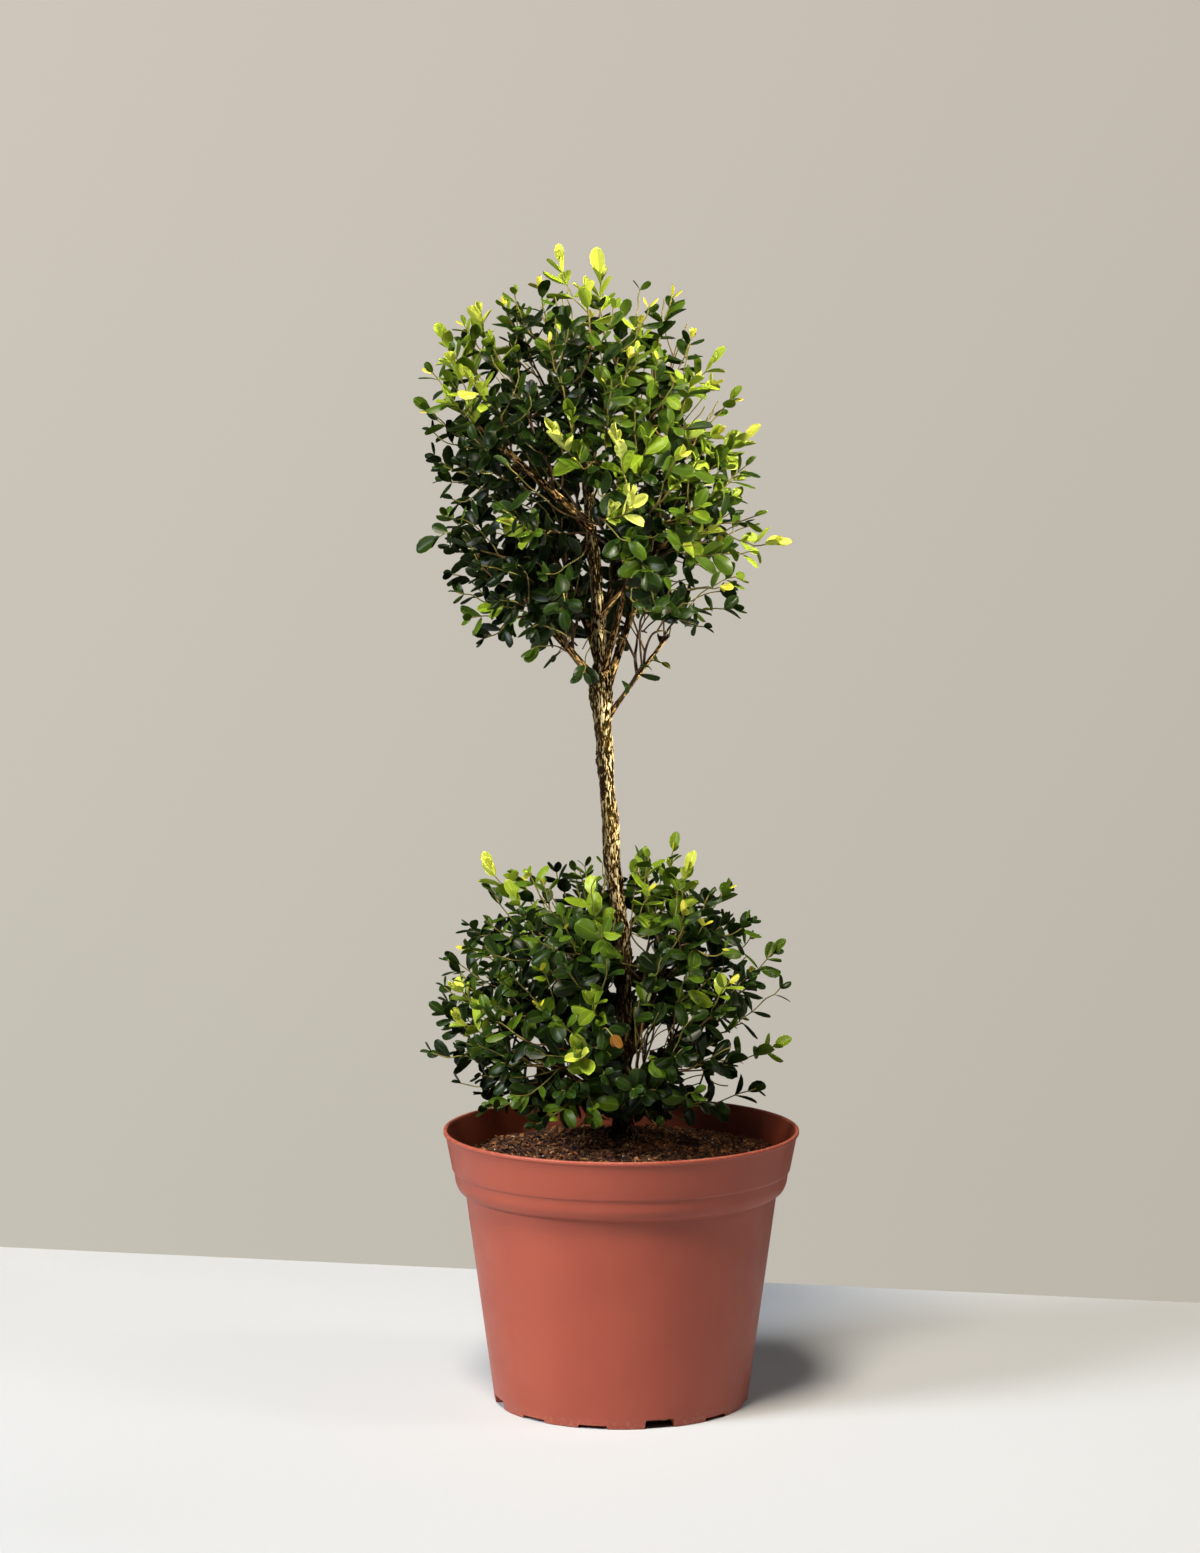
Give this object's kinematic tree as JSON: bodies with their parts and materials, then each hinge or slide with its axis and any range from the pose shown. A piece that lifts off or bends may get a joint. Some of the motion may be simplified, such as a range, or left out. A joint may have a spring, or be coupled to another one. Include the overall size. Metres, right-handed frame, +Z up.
{
  "type": "potted double ball boxwood topiary",
  "caption": "Small evergreen shrub trained as a low and a high ball of leaves on one bare stem, in a round terracotta-coloured plastic nursery pot.",
  "frame": {"origin": "middle of the pot's flat underside, on the surface it stands on", "axes": "+Z up along the pot's axis, -Y towards the viewer of the reference view, +X to that viewer's right"},
  "size_m": [0.2716, 0.25, 0.8106],
  "materials": {
    "pot": "satin",
    "soil": "rough",
    "bark": "rough",
    "foliage": "glossy leaf"
  },
  "bodies": {
    "root": {"pot": "pot", "soil": "soil", "trunk": "bark", "bough_high_left": "bark", "bough_low_left": "bark", "bough_front": "bark", "bough_high_right": "bark", "bough_right": "bark", "bough_low_right": "bark", "bough_back_left": "bark", "bough_back_right": "bark", "low_bough_left": "bark", "low_bough_front_left": "bark", "low_bough_front_right": "bark", "low_bough_right": "bark", "low_bough_back_right": "bark", "low_bough_back_left": "bark", "low_bough_inner_left": "bark", "low_bough_inner_right": "bark", "crown_top": "foliage", "crown_high_left": "foliage", "crown_low_left": "foliage", "crown_front": "foliage", "crown_high_right": "foliage", "crown_right": "foliage", "crown_low_right": "foliage", "crown_back_left": "foliage", "crown_back_right": "foliage", "low_left": "foliage", "low_front_left": "foliage", "low_front_right": "foliage", "low_right": "foliage", "low_back_right": "foliage", "low_back_left": "foliage", "low_top_left": "foliage", "low_top_right": "foliage"}
  },
  "joints": []
}
